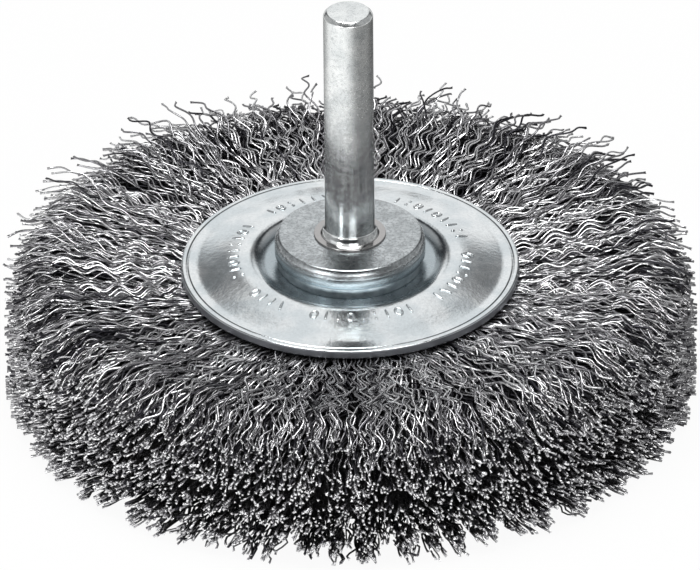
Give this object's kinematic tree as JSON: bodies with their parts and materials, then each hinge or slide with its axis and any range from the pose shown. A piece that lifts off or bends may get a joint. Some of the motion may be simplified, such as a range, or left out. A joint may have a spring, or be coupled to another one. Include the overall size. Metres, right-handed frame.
{
  "type": "wire wheel brush",
  "caption": "Shank-mounted wheel brush: crimped steel wire held between two dished side plates on a round clamping spindle.",
  "frame": {"origin": "on the axis of the spindle, in the plane of the lower side plate's crest, which the brush stands on", "axes": "+Z along the axis, towards the free end of the shank"},
  "size_m": [0.0818, 0.0818, 0.0526],
  "materials": {
    "spindle": "zinc plated, turned",
    "washer": "zinc plated, turned",
    "plate": "bright zinc plated sheet, pressed",
    "inner_steel": "plain steel",
    "wire": "dark drawn steel wire, crimped"
  },
  "bodies": {
    "root": {"core_ring": "inner_steel", "lower_side_plate": "plate", "seat_washer": "washer", "spacer_sleeve": "inner_steel", "spindle": "spindle", "top_washer": "washer", "upper_side_plate": "plate", "wire_lock_01": "wire", "wire_lock_02": "wire", "wire_lock_03": "wire", "wire_lock_04": "wire", "wire_lock_05": "wire", "wire_lock_06": "wire", "wire_lock_07": "wire", "wire_lock_08": "wire", "wire_lock_09": "wire", "wire_lock_10": "wire", "wire_lock_11": "wire", "wire_lock_12": "wire", "wire_lock_13": "wire", "wire_lock_14": "wire", "wire_lock_15": "wire", "wire_lock_16": "wire", "wire_lock_17": "wire", "wire_lock_18": "wire", "wire_lock_19": "wire", "wire_lock_20": "wire", "wire_lock_21": "wire", "wire_lock_22": "wire", "wire_lock_23": "wire", "wire_lock_24": "wire", "wire_lock_25": "wire", "wire_lock_26": "wire", "wire_lock_27": "wire", "wire_lock_28": "wire", "wire_lock_29": "wire", "wire_lock_30": "wire", "wire_lock_31": "wire", "wire_lock_32": "wire", "wire_lock_33": "wire", "wire_lock_34": "wire", "wire_lock_35": "wire", "wire_lock_36": "wire", "wire_lock_37": "wire", "wire_lock_38": "wire", "wire_lock_39": "wire", "wire_lock_40": "wire", "wire_lock_41": "wire", "wire_lock_42": "wire", "wire_lock_43": "wire", "wire_lock_44": "wire", "wire_lock_45": "wire", "wire_lock_46": "wire", "wire_lock_47": "wire", "wire_lock_48": "wire"}
  },
  "joints": []
}
